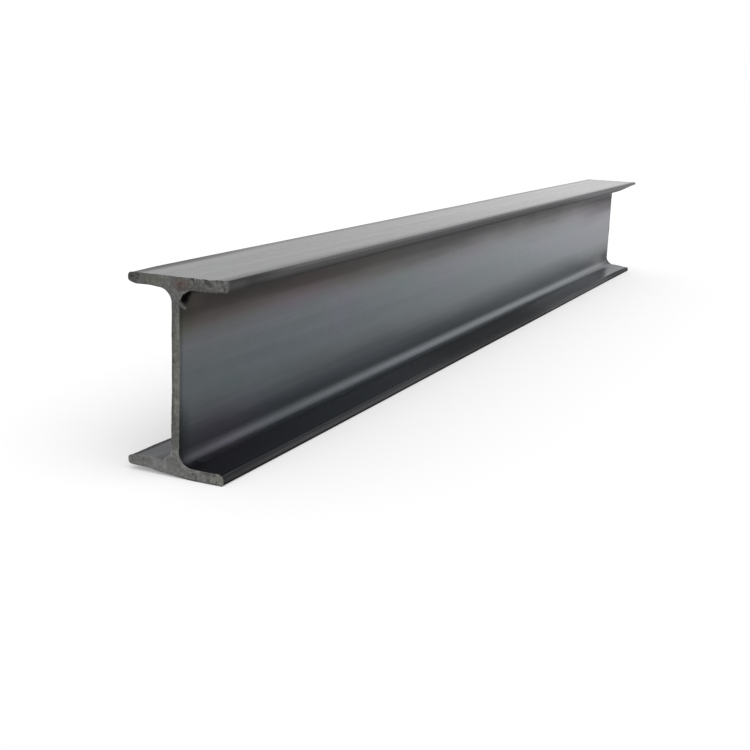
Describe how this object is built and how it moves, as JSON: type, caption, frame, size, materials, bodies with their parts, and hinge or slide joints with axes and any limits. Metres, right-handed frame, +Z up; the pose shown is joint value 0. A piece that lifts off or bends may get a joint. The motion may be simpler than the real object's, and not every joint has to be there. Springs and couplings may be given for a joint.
{
  "type": "steel h-beam",
  "caption": "Length of hot-rolled steel H-beam with parallel flanges, rounded flange roots and square-cut ends, standing on its bottom flange.",
  "frame": {"origin": "middle of the beam's length and width, on the underside of the bottom flange", "axes": "+X along the beam towards the end that the picture shows farther away, +Y across the flanges, away from the side that the picture shows, +Z up the web"},
  "size_m": [0.86, 0.055, 0.1],
  "materials": {
    "mill_scale_steel": "hot-rolled steel under dull blue-grey mill scale, a little brown rust, bare sawn ends"
  },
  "bodies": {
    "root": {"h_beam": "mill_scale_steel"}
  },
  "joints": []
}
